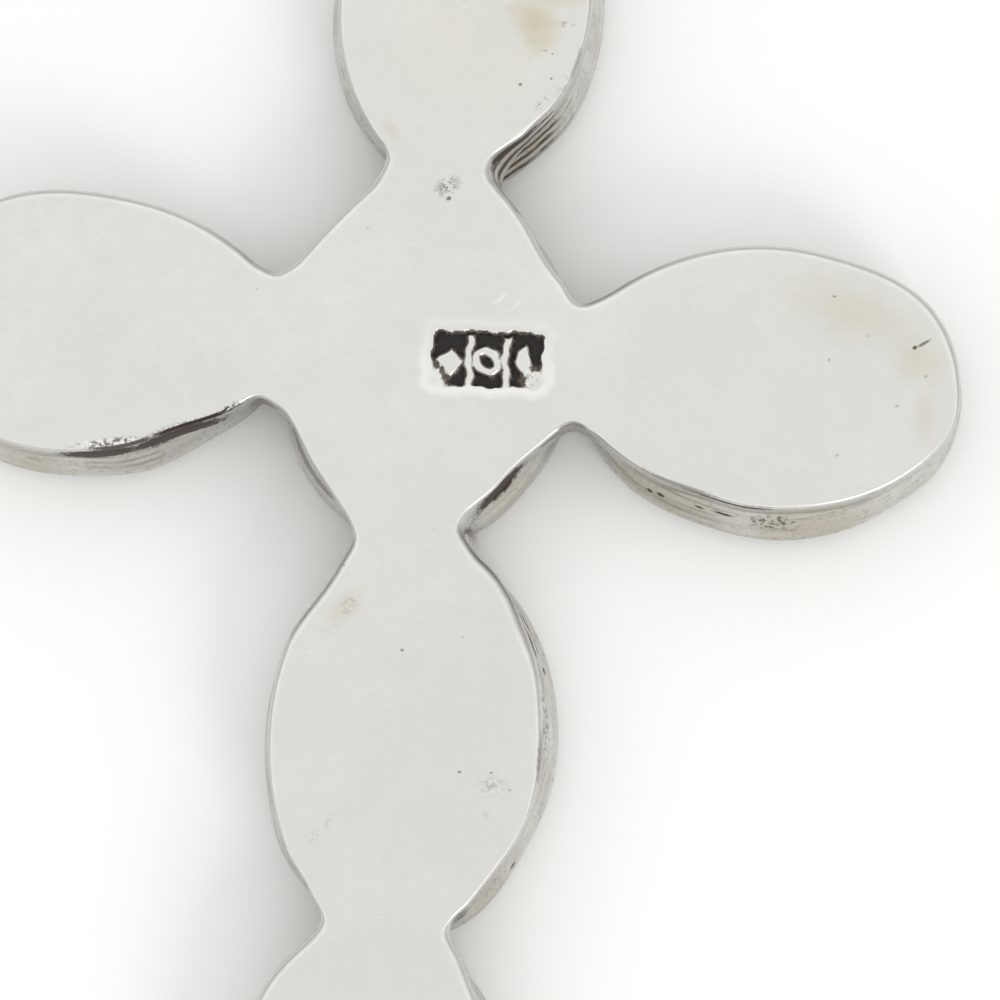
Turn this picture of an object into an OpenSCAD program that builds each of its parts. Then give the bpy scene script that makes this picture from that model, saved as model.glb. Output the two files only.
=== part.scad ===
// Silver cross pendant, lying face down on its domes with its flat back up.
// The back is one flat sheet cut to six oval lobes joined at narrow necks. Under each lobe
// sits a flared wall closed by a low plain dome, and a round eyelet on the top lobe holds
// a loose tapered bail. +Y points to the bail, +Z is the back, and z = 0 is the surface
// that the domes rest on.

/* [Centre] */
// Width of the centre lobe, from left neck to right neck
centre_w = 7.1; // [6.2:0.1:8.5]
// Height of the centre lobe, from top neck to lower neck
centre_h = 8.7; // [7.5:0.1:11]
// Outward bow of the four sides of the centre lobe
centre_bow = 0.06; // [0.02:0.01:0.4]
// Distance that the centre dome's wall stays back from the side necks
centre_gap_side = 0.4; // [0.2:0.05:0.8]
// Distance that the centre dome's wall stays back from the top and lower necks
centre_gap_end = 0.3; // [0.15:0.05:0.7]

/* [Side arms] */
// Length of a side lobe, from neck to tip
side_len = 8.6; // [7:0.1:11]
// Width of a side lobe
side_w = 6.1; // [5:0.1:7.5]
// Width of the sheet at a side neck
side_neck_w = 2.4; // [1.8:0.1:3.2]

/* [Top arm] */
// Length of the top lobe, from neck to tip
top_len = 8.4; // [7:0.1:11]
// Width of the top lobe
top_w = 5.9; // [5:0.1:7.5]
// Width of the sheet at the top neck
top_neck_w = 2.2; // [1.6:0.1:3]
// Shift of the top lobe's belly to the right, from hand filing
top_shift = 0.08; // [0:0.02:0.4]

/* [Lower arm] */
// Length of the upper of the two lower lobes, from neck to neck
low_len = 8.85; // [7:0.05:11]
// Width of the upper of the two lower lobes
low_w = 6.2; // [5:0.1:7.5]
// Width of the sheet at the neck under the centre
low_neck_w = 2.1; // [1.6:0.1:3]
// Length of the foot lobe, from neck to tip
foot_len = 8.7; // [7:0.1:11]
// Width of the foot lobe
foot_w = 6.1; // [5:0.1:7.5]
// Width of the sheet at the foot neck
foot_neck_w = 2.7; // [1.8:0.1:3.2]
// Lean of the lower arm to the right, in degrees, from hand setting
low_lean = 3; // [0:0.5:4]
// Shift of the upper lower lobe's belly to the right, from hand filing
low_shift = 0.25; // [0:0.05:0.4]

/* [Section] */
// Thickness of the flat back sheet
plate_t = 0.75; // [0.5:0.05:1.2]
// Height of the flared wall, from sheet to rim
wall_h = 0.95; // [0.5:0.05:1.5]
// Outward flare of the wall, from sheet to rim
flare = 0.22; // [0.05:0.01:0.35]
// Height of the domes beyond the rim
dome_h = 0.65; // [0.3:0.05:1.2]
// Step at the solder seam, where the wall meets the sheet
seam = 0.06; // [0.03:0.01:0.12]
// Depth that the wall is let into the sheet at the solder joint
wall_bite = 0.3; // [0.1:0.05:0.4]
// Distance that an arm's dome wall stays back from its neck
neck_gap = 0.12; // [0.05:0.01:0.5]
// Fillet radius in the notches beside each neck
notch_r = 0.25; // [0.1:0.05:0.4]

/* [Struck mark] */
// Width of the sunk panel on the back
mark_w = 2.5; // [1.5:0.1:3]
// Height of the sunk panel
mark_h = 1.3; // [0.8:0.1:1.6]
// Depth of the sunk panel
mark_depth = 0.15; // [0.05:0.05:0.3]
// Distance of the panel's middle to the right of the centre
mark_x = 1.5; // [0:0.1:1.8]
// Distance of the panel's middle above the centre
mark_y = -0.15; // [-1:0.05:1]
// Turn of the panel, in degrees
mark_turn = 4; // [-10:1:10]
// Width of the three raised figures in the panel
mark_figure = 0.62; // [0.3:0.02:0.7]

/* [Eyelet] */
// Outer diameter of the soldered eyelet
eyelet_d = 4; // [3.4:0.1:5]
// Diameter of the eyelet's wire
eyelet_wire = 0.9; // [0.6:0.05:1]
// Depth that the eyelet is sunk into the top lobe's edge
eyelet_bite = 0.7; // [0.4:0.05:0.85]

/* [Bail] */
// Thickness of the bail's strip
bail_t = 0.6; // [0.4:0.05:0.8]
// Width of the strip where it passes through the eyelet
bail_w_low = 1.3; // [0.8:0.1:1.5]
// Width of the strip at the top of the bail
bail_w_high = 3; // [2:0.1:5]
// Inner radius of the bail at the eyelet
bail_r_low = 0.9; // [0.75:0.05:1.2]
// Inner radius of the bail at the chain
bail_r_high = 1.7; // [1.4:0.1:2.6]
// Distance between the middles of those two rounds
bail_span = 3.2; // [2.8:0.1:5]
// Clearance between the bail and the eyelet's wire
bail_gap = 0.12; // [0.05:0.01:0.2]

/* [Hidden] */

$fn = 64;
silver = "#d8d7d2";
dark_silver = "#c2c1bb";
eps = 0.01;

// Steps along a lobe's flank, round a quarter of its tip, and along a side of the centre
flank_steps = 8;
tip_steps = 9;
bow_steps = 4;
// Points round a dome, rings up its height, and the share of it left flat on top
dome_points = 48;
dome_rings = 6;
dome_flat = 0.12;

// Heights above the surface that the domes rest on
z_rim = dome_h;
z_sheet = z_rim + wall_h;
z_back = z_sheet + plate_t;

// Table of the arms: heading, distance of the neck from the centre
ARM_HEADING = 0;
ARM_START = 1;
right = [0, centre_w / 2];
top = [90, centre_h / 2];
left = [180, centre_w / 2];
low = [-90 + low_lean, centre_h / 2];

// The eyelet's middle, and the bail's two rounds in the plane of the cross's height
top_tip = top[ARM_START] + top_len;
eyelet_r = (eyelet_d - eyelet_wire) / 2;
eyelet_y = top_tip - eyelet_bite + eyelet_d / 2;
eyelet_z = z_back - eyelet_wire / 2 - eps;
bail_seat = sqrt(pow(eyelet_r - eyelet_wire / 2, 2) - pow(bail_w_low / 2, 2)) - bail_gap;
bail_low_y = eyelet_y + bail_seat + bail_r_low;
bail_tilt = asin((bail_r_high + bail_t - eyelet_z) / bail_span);
bail_end_y = bail_low_y + bail_span * cos(bail_tilt) + bail_r_high + bail_t;

// Middle of the whole pendant's box, from the bail's end to the foot dome's rim, which
// becomes the origin
foot_mid = arm_point(low, [low_len + (foot_len + neck_gap) / 2, 0]);
foot_rim = [(foot_len - neck_gap) / 2 + flare, foot_w / 2 + flare];
foot_reach = norm([foot_rim[0] * cos(low_lean), foot_rim[1] * sin(low_lean)]);
box_y = (bail_end_y + foot_mid[1] - foot_reach) / 2;

// Radius of the arc that rises by h over the run l and ends level
function arc_r(l, h) = (l * l + h * h) / (2 * h);

// Flank of a lobe from its neck to its belly, the belly itself left out
function flank(run, neck, belly) =
    let (r = arc_r(run, belly - neck), a = asin(run / r))
    [for (k = [0:flank_steps - 1])
        let (t = a * (1 - k / flank_steps))
        [run - r * sin(t), belly - r + r * cos(t)]];

// Quarter of an oval tip from belly to point, the point itself left out
function tip(run, belly) =
    [for (k = [0:tip_steps - 1])
        let (t = 90 * k / tip_steps)
        [run * (1 + sin(t)), belly * cos(t)]];

// One side of an oval lobe that ends in a tip, and of one that ends in another neck
function tipped_side(len, belly, neck) =
    concat(flank(len / 2, neck / 2, belly), tip(len / 2, belly));
function necked_side(len, belly, neck, next_neck) =
    concat(flank(len / 2, neck / 2, belly),
        [[len / 2, belly]],
        [for (p = reversed(flank(len / 2, next_neck / 2, belly))) [len - p[0], p[1]]]);

function reversed(list) = [for (k = [len(list) - 1:-1:0]) list[k]];
function shifted(list, run) = [for (p = list) [p[0] + run, p[1]]];

// Both sides of an arm, from the neck's right corner round the tip to its left corner
function arm_loop(side_right, side_left, len) =
    concat([for (p = side_right) [p[0], -p[1]]], [[len, 0]], reversed(side_left));

// A point given along and across an arm, in the cross's own frame
function arm_point(arm, p) =
    let (a = arm[ARM_HEADING])
    arm_root(arm) + [p[0] * cos(a) - p[1] * sin(a), p[0] * sin(a) + p[1] * cos(a)];
function arm_root(arm) =
    let (q = round(arm[ARM_HEADING] / 90) * 90)
    arm[ARM_START] * [cos(q), sin(q)];
function on_arm(arm, list) = [for (p = list) arm_point(arm, p)];

// Bowed side of the centre lobe between two neck corners, both corners left out
function bow(p, q) =
    let (c = norm(q - p), r = arc_r(c / 2, centre_bow), a = asin(c / 2 / r),
        along = (q - p) / c, out = [along[1], -along[0]])
    [for (k = [1:bow_steps - 1])
        let (t = a * (2 * k / bow_steps - 1))
        (p + q) / 2 + along * r * sin(t) + out * (centre_bow - r + r * cos(t))];

side_flank = tipped_side(side_len, side_w / 2, side_neck_w);
side_loop = arm_loop(side_flank, side_flank, side_len);
top_loop = arm_loop(tipped_side(top_len, top_w / 2 + top_shift, top_neck_w),
    tipped_side(top_len, top_w / 2 - top_shift, top_neck_w), top_len);
foot_side = shifted(tipped_side(foot_len, foot_w / 2, foot_neck_w), low_len);
low_loop = arm_loop(
    concat(necked_side(low_len, low_w / 2 - low_shift, low_neck_w, foot_neck_w), foot_side),
    concat(necked_side(low_len, low_w / 2 + low_shift, low_neck_w, foot_neck_w), foot_side),
    low_len + foot_len);

arms = [on_arm(right, side_loop), on_arm(top, top_loop),
    on_arm(left, side_loop), on_arm(low, low_loop)];
sheet_loop = [for (k = [0:3])
    let (this = arms[k], next = arms[(k + 1) % 4])
    each concat(this, bow(this[len(this) - 1], next[0]))];

// Outline of the back sheet, with the notches beside the necks filleted
module sheet_outline() {
    offset(r = -notch_r, $fn = 24)
        offset(delta = notch_r)
            polygon(sheet_loop);
}

// Ellipse of half sizes a and b at height z, one ring of a lobe
function ring(a, b, z) =
    [for (k = [0:dome_points - 1])
        let (t = 360 * k / dome_points)
        [a * cos(t), b * sin(t), z]];

// Flared wall and dome of one lobe, stood under the sheet and let into it
module lobe(len, w) {
    a = len / 2;
    b = w / 2;
    root = -seam - (flare + seam) / wall_h * wall_bite;
    wall = ring(a + root, b + root, z_sheet + wall_bite);
    dome = [for (k = [0:dome_rings])
        let (t = 90 * k / dome_rings, share = max(cos(t), dome_flat))
        ring(share * (a + flare), share * (b + flare), z_rim * (1 - sin(t)))];
    rings = concat([wall], dome);
    n = dome_points;
    last = len(rings) - 1;
    polyhedron(
        points = [for (r = rings) each r],
        faces = concat(
            [[for (k = [n - 1:-1:0]) k]],
            [for (r = [0:last - 1], k = [0:n - 1])
                [r * n + k, r * n + (k + 1) % n, (r + 1) * n + (k + 1) % n]],
            [for (r = [0:last - 1], k = [0:n - 1])
                [r * n + k, (r + 1) * n + (k + 1) % n, (r + 1) * n + k]],
            [[for (k = [0:n - 1]) last * n + k]]));
}

// Puts an oval lobe on its arm, kept back from the necks at its ends
module lobe_on(arm, start, len, w, shift = 0, necks = 1) {
    body = len - necks * neck_gap;
    mid = arm_point(arm, [start + neck_gap + body / 2, shift]);
    translate([mid[0], mid[1], 0])
        rotate(arm[ARM_HEADING])
            lobe(body, w);
}

// Sunk panel on the back, with a diamond, a disc and a leaf left standing in it
module struck_mark() {
    pitch = mark_w / 3;
    leaf_r = mark_figure * 0.6;
    translate([mark_x, mark_y, z_back - mark_depth])
        rotate(mark_turn)
            linear_extrude(mark_depth + eps)
                difference() {
                    square([mark_w, mark_h], center = true);
                    translate([-pitch, 0])
                        rotate(45)
                            square(mark_figure / sqrt(2), center = true);
                    circle(d = mark_figure);
                    translate([pitch, 0])
                        intersection_for (s = [-1, 1])
                            translate([s * leaf_r / 2, 0])
                                circle(leaf_r);
                }
}

module cross() {
    color(silver)
        translate([0, -box_y, 0]) {
            difference() {
                union() {
                    translate([0, 0, z_sheet])
                        linear_extrude(plate_t)
                            sheet_outline();
                    lobe(centre_w - 2 * centre_gap_side, centre_h - 2 * centre_gap_end);
                    lobe_on(right, 0, side_len, side_w);
                    lobe_on(left, 0, side_len, side_w);
                    lobe_on(top, 0, top_len, top_w, -top_shift);
                    lobe_on(low, 0, low_len, low_w, low_shift, 2);
                    lobe_on(low, low_len, foot_len, foot_w);
                    translate([0, eyelet_y, eyelet_z])
                        rotate_extrude()
                            translate([eyelet_r, 0])
                                circle(d = eyelet_wire);
                }
                struck_mark();
            }
        }
}

// Drop-shaped outline round the bail's two rounds, larger than them by grow
module bail_drop(grow) {
    hull() {
        circle(bail_r_low + grow);
        translate([bail_span, 0])
            circle(bail_r_high + grow);
    }
}

// Tapered strip bent into a closed drop, leaning so that it touches the surface
module bail() {
    low_end = bail_r_low + bail_t;
    high_end = bail_span + bail_r_high + bail_t;
    color(dark_silver)
        translate([0, bail_low_y - box_y, eyelet_z])
            rotate([bail_tilt, 0, 0])
                rotate(90)
                    intersection() {
                        rotate([90, 0, 0])
                            linear_extrude(bail_w_high, center = true)
                                difference() {
                                    bail_drop(bail_t);
                                    bail_drop(0);
                                }
                        translate([0, 0, -high_end])
                            linear_extrude(2 * high_end)
                                polygon([
                                    [-low_end, -bail_w_low / 2],
                                    [high_end, -bail_w_high / 2],
                                    [high_end, bail_w_high / 2],
                                    [-low_end, bail_w_low / 2]]);
                    }
}

cross();
bail();
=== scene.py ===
# %% [markdown]
# # A silver cross pendant, seen from its flat back
# The real pendant is soldered from sterling silver. A flat sheet is sawn to six joined ovals,
# and under each oval stands a flared wall closed by a low dome. The front of the pendant faces
# down, so this lesson spends its care on the worn back, on the filed edges and on the walls.
# Every piece is modelled with one Blender unit for a millimetre, because the tools for cutting
# and bevelling work best near that size, and it is brought down to metres when it is done.

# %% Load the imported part
import math

import bmesh
import bpy
from mathutils import Matrix, Vector
from mathutils.kdtree import KDTree


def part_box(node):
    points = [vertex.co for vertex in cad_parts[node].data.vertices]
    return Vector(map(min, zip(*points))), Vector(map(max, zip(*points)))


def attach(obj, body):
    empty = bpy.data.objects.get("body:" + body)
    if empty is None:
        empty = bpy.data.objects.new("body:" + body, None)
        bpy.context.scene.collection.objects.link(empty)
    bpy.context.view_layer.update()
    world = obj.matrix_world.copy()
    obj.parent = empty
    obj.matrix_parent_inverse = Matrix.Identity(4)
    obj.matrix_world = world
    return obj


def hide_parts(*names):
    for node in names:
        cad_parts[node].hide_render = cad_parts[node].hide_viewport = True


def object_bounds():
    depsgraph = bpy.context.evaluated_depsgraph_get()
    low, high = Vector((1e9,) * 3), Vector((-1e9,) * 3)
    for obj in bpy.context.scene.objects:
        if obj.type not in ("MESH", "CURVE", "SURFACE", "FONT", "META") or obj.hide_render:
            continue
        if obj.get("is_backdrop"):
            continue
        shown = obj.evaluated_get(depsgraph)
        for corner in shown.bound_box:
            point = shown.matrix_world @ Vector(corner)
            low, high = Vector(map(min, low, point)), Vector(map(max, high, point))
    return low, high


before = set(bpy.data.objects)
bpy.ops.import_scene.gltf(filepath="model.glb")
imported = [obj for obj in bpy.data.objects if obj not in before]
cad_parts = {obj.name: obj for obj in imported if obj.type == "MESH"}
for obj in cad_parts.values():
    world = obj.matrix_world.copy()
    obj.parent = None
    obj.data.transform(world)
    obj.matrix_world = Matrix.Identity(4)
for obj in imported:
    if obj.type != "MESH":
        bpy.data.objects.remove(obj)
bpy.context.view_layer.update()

MM = 0.001
# Two places in millimetres that lie this close count as one
CLOSE = 0.001
cross_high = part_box("cross")[1]
BACK_Z = cross_high.z / MM
print("the back lies", round(BACK_Z, 3), "mm above the floor")

# %% [markdown]
# ## The camera
# The picture is a close view of the back, taken from a hand's width away, a little from the
# foot and a little from the right. A long lens keeps the ovals true. The camera is placed from
# four facts: how far it stands from the middle of the cross, how far it leans to either side,
# how much it is rolled, and where in the picture the middle of the cross falls.

# %% Camera, in millimetres
IMAGE_SIDE = 1000
SENSOR = 36
CLIP_START = 5
MIDDLE = Vector((0, 0.454, BACK_Z))
MIDDLE_IN_IMAGE = (425.1, 347.5)
PIXELS_PER_MM = 44.0
CAMERA_DISTANCE = 94.57
LEAN_RIGHT = math.radians(3.506)
LEAN_FOOT = math.radians(13.154)
ROLL = math.radians(5.734)

focal_pixels = PIXELS_PER_MM * CAMERA_DISTANCE
toward = Vector((math.sin(LEAN_RIGHT), -math.sin(LEAN_FOOT), 0))
toward.z = math.sqrt(1 - toward.length_squared)
level = Vector((0, 1, 0)).cross(toward).normalized()
upright = toward.cross(level)
across = math.cos(ROLL) * level + math.sin(ROLL) * upright
upward = math.cos(ROLL) * upright - math.sin(ROLL) * level
side_step = (MIDDLE_IN_IMAGE[0] - IMAGE_SIDE / 2) / focal_pixels
rise_step = (MIDDLE_IN_IMAGE[1] - IMAGE_SIDE / 2) / focal_pixels
camera_place = MIDDLE - CAMERA_DISTANCE * (side_step * across - rise_step * upward - toward)

bpy.ops.object.camera_add()
camera = bpy.context.object
camera.name = "camera"
camera.data.sensor_width = SENSOR
camera.data.lens = focal_pixels * SENSOR / IMAGE_SIDE
camera.data.clip_start = CLIP_START * MM
turn = Matrix((across, upward, toward)).transposed().to_4x4()
camera.matrix_world = Matrix.Translation(camera_place * MM) @ turn
bpy.context.scene.camera = camera
print("lens", round(camera.data.lens, 1), "mm at", [round(v, 1) for v in camera_place])

# %% [markdown]
# ## The light
# Polished silver shows what surrounds it, so the light is a picture in itself. It is a light
# tent: white cloth, brightest half way up, that falls off towards the table, with one strong
# softbox low on the right of the foot, which draws the white line along the edges there. A
# world made of nodes gives the cloth without any noise, and one area light does the rest. The
# floor is a plain sheet of paper. A real sweep curves up behind, but nothing of it shows here.

# %% Helpers for colours and nodes
def linear(hex_code):
    """A colour written as sRGB hex, as Blender's linear red, green, blue and alpha."""
    parts = [int(hex_code[k:k + 2], 16) / 255 for k in (1, 3, 5)]
    curve = [p / 12.92 if p <= 0.04045 else ((p + 0.055) / 1.055) ** 2.4 for p in parts]
    return (*curve, 1)


def fill(tree, node, sockets):
    """Sets a node's sockets, given by name or place, to numbers or to other nodes' outputs."""
    for key, value in sockets.items():
        if isinstance(value, bpy.types.NodeSocket):
            tree.links.new(value, node.inputs[key])
        else:
            node.inputs[key].default_value = value


def add(tree, kind, *values, output=0, **named):
    """Adds a node, fills its sockets, and gives one of its outputs, the first if none is named.

    The kind is a node's name, or a pair of its name and its settings. The values fill the
    sockets in order. A named value fills the socket of that name, with _ for a space, or the
    one at that place, such as _6."""
    kind, settings = (kind, {}) if isinstance(kind, str) else kind
    node = tree.nodes.new("ShaderNode" + kind)
    for name, value in settings.items():
        setattr(node, name, value)
    fill(tree, node, dict(enumerate(values)))
    fill(tree, node, {int(name[1:]) if name[1:].isdigit() else name.replace("_", " "): value
                      for name, value in named.items()})
    return node.outputs[output] if node.outputs else None


# %% Kinds of node that come back again and again
SOFT_STEP = ("MapRange", {"interpolation_type": "SMOOTHSTEP"})
PLUS = ("Math", {"operation": "ADD"})
MINUS = ("Math", {"operation": "SUBTRACT"})
TIMES = ("Math", {"operation": "MULTIPLY"})
LARGER = ("Math", {"operation": "MAXIMUM"})

# %% Cloth of the light tent
CLOTH = linear("#fafbf9")
TENT_TOP = 0.90
TENT_SIDE = 1.12
TENT_TABLE = 0.50
# Where the brightest cloth begins and ends, from 0 level with the table to 1 straight above
BRIGHT_FROM, BRIGHT_TO = 0.7, 0.8

world = bpy.data.worlds.new("light_tent")
bpy.context.scene.world = world
world.use_nodes = True
tent = world.node_tree
tent.nodes.clear()
direction = add(tent, "TexCoord", output="Generated")
height = add(tent, "SeparateXYZ", direction, output="Z")
low_cloth = add(tent, SOFT_STEP, height, 0, BRIGHT_FROM, TENT_TABLE, TENT_SIDE)
top_cloth = add(tent, SOFT_STEP, height, BRIGHT_TO, 1, 0, TENT_SIDE - TENT_TOP)
cloth = add(tent, MINUS, low_cloth, top_cloth)
add(tent, "OutputWorld", add(tent, "Background", CLOTH, cloth))
bpy.context.scene.view_settings.view_transform = "Standard"
print("tent of", len(tent.nodes), "nodes")

# %% Softbox, in metres and watts
SOFTBOX_PLACE = Vector((0.16, -0.20, 0.15))
SOFTBOX_SIDE = 0.10
SOFTBOX_WATTS = 0.20

bpy.ops.object.light_add(type="AREA", location=SOFTBOX_PLACE)
softbox = bpy.context.object
softbox.name = "softbox_foot_right"
softbox.data.shape = "SQUARE"
softbox.data.size = SOFTBOX_SIDE
softbox.data.energy = SOFTBOX_WATTS
softbox.rotation_euler = (-SOFTBOX_PLACE).to_track_quat("-Z", "Y").to_euler()
print(softbox.name, "at", [round(v, 2) for v in SOFTBOX_PLACE])

# %% Floor: white matte paper gives the eye an even pale ground without a glint
FLOOR_SIDE = 1.6
PAPER_WHITE = linear("#fbfbfa")
PAPER_ROUGHNESS = 0.9

bpy.ops.mesh.primitive_plane_add(size=FLOOR_SIDE)
floor = bpy.context.object
floor.name = "floor"
paper = bpy.data.materials.new("white_matte_paper")
paper.use_nodes = True
fill(paper.node_tree, paper.node_tree.nodes["Principled BSDF"],
     {"Base Color": PAPER_WHITE, "Roughness": PAPER_ROUGHNESS})
floor.data.materials.append(paper)
floor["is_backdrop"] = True
print("floor", [round(v, 2) for v in floor.dimensions])

# %% [markdown]
# ## Helpers for modelling by hand
# An operator works on whatever is selected, so each step first selects what it needs. These
# helpers do what a modeller does with the mouse: enter edit mode, pick points or faces by
# where they are, and leave again with the piece in place.

# %% Selecting
def put_down():
    """Leaves edit mode, with nothing selected."""
    if bpy.context.object and bpy.context.object.mode == "EDIT":
        bpy.ops.object.mode_set(mode="OBJECT")
    bpy.ops.object.select_all(action="DESELECT")


def only(piece):
    """Selects this one piece and makes it active, in object mode."""
    put_down()
    piece.select_set(True)
    bpy.context.view_layer.objects.active = piece


def edit(piece, kind="VERT"):
    """Opens the piece in edit mode, to select points, edges or faces, with nothing selected."""
    only(piece)
    bpy.ops.object.mode_set(mode="EDIT")
    bpy.ops.mesh.select_mode(type=kind)
    bpy.ops.mesh.select_all(action="DESELECT")


def pick(piece, kind, test):
    """Selects, in edit mode, each vertex, edge or face that passes the test, and counts them."""
    mesh = bmesh.from_edit_mesh(piece.data)
    for element in getattr(mesh, kind):
        element.select_set(bool(test(element)))
    bmesh.update_edit_mesh(piece.data)
    return sum(element.select for element in getattr(mesh, kind))


# %% Making and finishing pieces
def apply_place(piece):
    """Moves the piece's place, turn and scale into its mesh."""
    only(piece)
    bpy.ops.object.transform_apply(location=True, rotation=True, scale=True)


def finish_modifier(piece, kind, **settings):
    """Adds a modifier with its settings and applies it."""
    only(piece)
    modifier = piece.modifiers.new(kind.lower(), kind)
    for name, value in settings.items():
        setattr(modifier, name, value)
    bpy.ops.object.modifier_apply(modifier=modifier.name)


def begin(primitive, name, **sizes):
    """Adds a primitive, such as circle or torus, as a new piece with this name."""
    put_down()
    getattr(bpy.ops.mesh, "primitive_" + primitive + "_add")(**sizes)
    piece = bpy.context.object
    piece.name = name
    return piece

# %% [markdown]
# ## The back sheet's outline
# The maker sawed the outline from flat sheet: each arm leaves the centre at a narrow neck,
# swells in an arc to its belly and closes in an oval tip. It could be traced point by point,
# but arcs are truer and easier to change. Each arm is a circle squeezed to an oval, cut in
# half at the belly, and carried on to the neck by spinning its two end points like a compass.

# %% Driving sizes of the outline, in mm: its points' spacing, then lengths, widths and necks
STEP = 0.09
CENTRE_W, CENTRE_H = 7.1, 8.7
SIDE_LEN, SIDE_W, SIDE_NECK = 8.6, 6.1, 2.4
TOP_LEN, TOP_W, TOP_NECK, TOP_SHIFT = 8.4, 5.9, 2.2, 0.08
LOW_LEN, LOW_W, LOW_NECK, LOW_SHIFT = 8.85, 6.2, 2.1, 0.25
FOOT_LEN, FOOT_W, FOOT_NECK, FOOT_SHIFT = 8.7, 6.1, 2.7, -0.2
LOW_HEADING = math.radians(-87)
print("arms", SIDE_LEN, TOP_LEN, round(LOW_LEN + FOOT_LEN, 2), "mm long")


# %% Drawing with a compass
def spin_from(outline, start, centre, degrees):
    """Carries the outline on from the point at start, round a centre; clockwise is positive."""
    height = outline.data.vertices[0].co.z
    start = Vector((*start, height))
    centre = Vector((*centre, height))
    pick(outline, "verts", lambda v: (v.co - start).length < STEP / 4)
    length = (start - centre).length * math.radians(abs(degrees))
    bpy.ops.mesh.spin(steps=max(2, round(length / STEP)), dupli=False,
                      angle=math.radians(degrees), center=centre, axis=(0, 0, 1))


def draw_flank(outline, belly, neck, from_belly=True):
    """An arc that is level at the belly and ends at the neck's corner, both as (x, y)."""
    side = 1 if belly[1] > 0 else -1
    run = neck[0] - belly[0]
    rise = abs(belly[1]) - abs(neck[1])
    radius = (run * run + rise * rise) / (2 * rise)
    angle = math.degrees(math.asin(run / radius)) * side
    centre = (belly[0], belly[1] - side * radius)
    if from_belly:
        spin_from(outline, belly, centre, angle)
    else:
        spin_from(outline, neck, centre, -angle)


# %% Drawing the arms along +X
def tip(name, start, length, width, shift):
    """The round end of an arm: half an oval that is open towards the neck."""
    points = 4 * round(math.pi * width / 4 / STEP)
    oval = begin("circle", name, vertices=points, radius=width / 2)
    oval.scale.x = length / width
    oval.location = (start + length / 2, shift, 0)
    apply_place(oval)
    edit(oval)
    pick(oval, "verts", lambda v: v.co.x < start + length / 2 - STEP / 4)
    bpy.ops.mesh.delete(type="VERT")
    return oval


def one_lobe_arm(name, length, width, neck, shift=0.0):
    """An arm of one lobe, from its neck at x = 0 to its tip."""
    arm = tip(name, 0, length, width, shift)
    for side in (1, -1):
        draw_flank(arm, (length / 2, shift + side * width / 2), (0, side * neck / 2))
    return arm


def two_lobe_arm(name):
    """The lower arm: the foot lobe, and above it a lobe with a neck at either end."""
    arm = tip(name, LOW_LEN, FOOT_LEN, FOOT_W, FOOT_SHIFT)
    for side in (1, -1):
        belly = (LOW_LEN / 2, LOW_SHIFT + side * LOW_W / 2)
        neck = (LOW_LEN, side * FOOT_NECK / 2)
        draw_flank(arm, (LOW_LEN + FOOT_LEN / 2, FOOT_SHIFT + side * FOOT_W / 2), neck)
        draw_flank(arm, belly, neck, from_belly=False)
        draw_flank(arm, belly, (0, side * LOW_NECK / 2))
    return arm


# %% Setting the arms round the centre
SHEET_T = 0.75
SHEET_UNDER_Z = BACK_Z - SHEET_T
ROOTS = {
    "right": ((CENTRE_W / 2, MIDDLE.y), 0),
    "top": ((0, MIDDLE.y + CENTRE_H / 2), math.pi / 2),
    "left": ((-CENTRE_W / 2, MIDDLE.y), math.pi),
    "low": ((0, MIDDLE.y - CENTRE_H / 2), LOW_HEADING),
}
arms = {
    "right": one_lobe_arm("right_arm", SIDE_LEN, SIDE_W, SIDE_NECK),
    "top": one_lobe_arm("top_arm", TOP_LEN, TOP_W, TOP_NECK, -TOP_SHIFT),
    "left": one_lobe_arm("left_arm", SIDE_LEN, SIDE_W, SIDE_NECK),
    "low": two_lobe_arm("low_arm"),
}


def on_arm(arm_name, x, y):
    """A point given along and across an arm, in the pendant's own frame."""
    (root_x, root_y), heading = ROOTS[arm_name]
    across_x = root_x + x * math.cos(heading) - y * math.sin(heading)
    across_y = root_y + x * math.sin(heading) + y * math.cos(heading)
    return across_x, across_y


for name, arm in arms.items():
    only(arm)
    arm.rotation_euler.z = ROOTS[name][1]
    arm.location = (*ROOTS[name][0], SHEET_UNDER_Z)
    apply_place(arm)
    print(arm.name, len(arm.data.vertices), "points")

# %% Closing the four sides of the centre
# Side: two neck corners, each by its arm and its side of the arm, and how far the side bows out
CORNERS = (
    (("right", SIDE_NECK / 2), ("top", -TOP_NECK / 2), 0.005),
    (("top", TOP_NECK / 2), ("left", -SIDE_NECK / 2), 0.12),
    (("left", SIDE_NECK / 2), ("low", -LOW_NECK / 2), 0.03),
    (("low", LOW_NECK / 2), ("right", -SIDE_NECK / 2), 0.03),
)
only(arms["right"])
for arm in arms.values():
    arm.select_set(True)
bpy.ops.object.join()
back_sheet = bpy.context.object
back_sheet.name = "back_sheet"


def bowed_side(outline, start, end, bow):
    """Joins two neck corners by an arc that stands out by bow from the straight line."""
    start, end = Vector(start), Vector(end)
    chord = end - start
    out = Vector((chord.y, -chord.x)).normalized()
    radius = (chord.length_squared / 4 + bow * bow) / (2 * bow)
    centre = (start + end) / 2 - out * (radius - bow)
    angle = 2 * math.degrees(math.asin(chord.length / 2 / radius))
    spin_from(outline, start, centre, -angle)


edit(back_sheet)
for (arm_a, side_a), (arm_b, side_b), bow in CORNERS:
    bowed_side(back_sheet, on_arm(arm_a, 0, side_a), on_arm(arm_b, 0, side_b), bow)
bpy.ops.mesh.select_all(action="SELECT")
bpy.ops.mesh.remove_doubles(threshold=STEP / 4)
print("outline of", len(bmesh.from_edit_mesh(back_sheet.data).verts), "points")

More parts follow.
